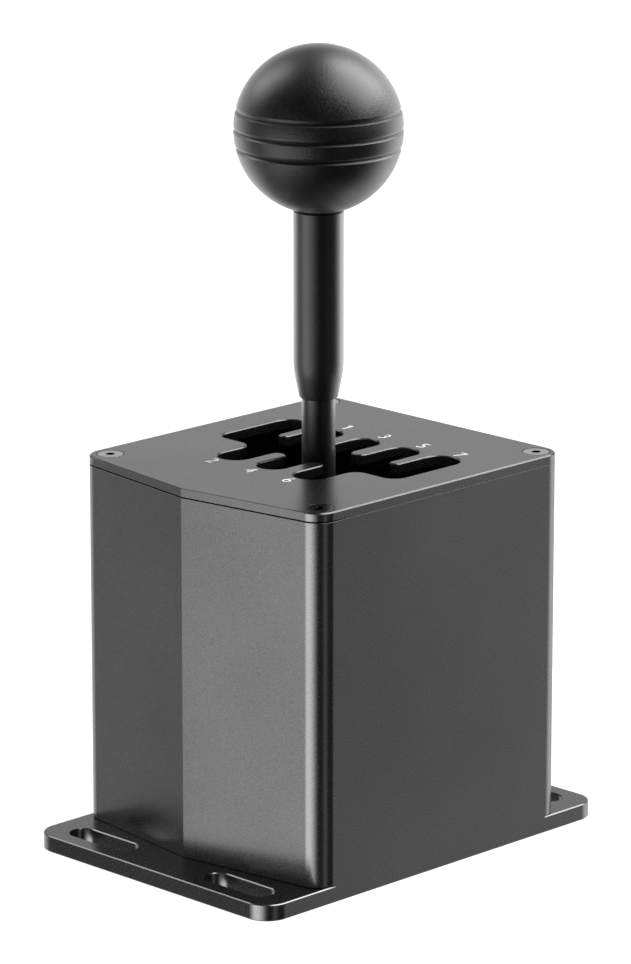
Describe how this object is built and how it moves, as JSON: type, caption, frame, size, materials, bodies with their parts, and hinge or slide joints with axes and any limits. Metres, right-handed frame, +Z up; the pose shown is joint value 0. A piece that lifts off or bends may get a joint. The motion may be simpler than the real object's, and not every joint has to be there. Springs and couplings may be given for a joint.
{
  "type": "sim racing gear shifter",
  "caption": "Gear shifter: a ball-topped lever in a slotted gate on a ridged metal housing, sprung left and right and notched fore and aft, with a slotted base plate.",
  "frame": {"origin": "centre of the base plate's underside, on the lever's axis at rest", "axes": "+Z up along the lever at rest, +Y forward, away from the driver, +X to the driver's right"},
  "size_m": [0.1, 0.1426, 0.2418],
  "materials": {
    "dark_anodised": "bead-blasted, dark grey anodised",
    "black_anodised": "fine matt black anodised",
    "blackened_steel": "black oxide, satin",
    "zinc_screw": "zinc plated",
    "machined_alloy": "milled",
    "bearing_steel": "ground",
    "spring_steel": "oiled",
    "bronze": "turned",
    "nickel": "nickel plated",
    "circuit_board": "solder mask",
    "chip_plastic": "moulded",
    "header_plastic": "moulded",
    "lead_jacket": "flexible ribbon"
  },
  "bodies": {
    "frame": {"base_plate": "dark_anodised", "housing": "dark_anodised", "gate_plate": "dark_anodised", "gate_screws": "zinc_screw", "housing_screws": "zinc_screw", "front_pillar": "machined_alloy", "rear_pillar": "machined_alloy", "pillar_screws": "zinc_screw", "bearing_outer_rings": "bearing_steel", "bearing_balls": "bearing_steel", "spring_posts": "bearing_steel", "left_spring": "spring_steel", "right_spring": "spring_steel", "sensor_board": "circuit_board", "sensor_chip": "chip_plastic", "main_board": "circuit_board", "controller_chip": "chip_plastic", "usb_socket": "nickel", "board_standoffs": "machined_alloy", "board_screws": "zinc_screw", "lead_headers": "header_plastic", "sensor_lead": "lead_jacket"},
    "cradle": {"select_cradle": "machined_alloy", "bearing_inner_rings": "bearing_steel", "front_axle": "bearing_steel", "rear_axle": "bearing_steel", "axle_clips": "spring_steel", "detent_ball": "bearing_steel", "detent_spring": "spring_steel", "detent_adjuster": "spring_steel", "trunnion_bushes": "bronze"},
    "lever": {"lever_hub": "machined_alloy", "trunnion_pins": "bearing_steel", "pin_clips": "spring_steel", "hub_set_screws": "spring_steel", "lever_rod": "blackened_steel", "lever_sleeve": "black_anodised", "knob": "black_anodised", "knob_insert": "bronze", "magnet_holder": "machined_alloy", "sensor_magnet": "nickel"}
  },
  "joints": [
    {"name": "select", "type": "hinge", "parent": "frame", "child": "cradle", "pos_m": [0, 0, 0.04], "axis": [0, 1, 0], "range_deg": [-11.78, 11.78], "stiffness_Nm_per_rad": 6, "deforming": ["left_spring", "right_spring"]},
    {"name": "engage", "type": "hinge", "parent": "cradle", "child": "lever", "pos_m": [0, 0, 0.04], "axis": [-1, 0, 0], "range_deg": [-13.2, 13.2]}
  ]
}
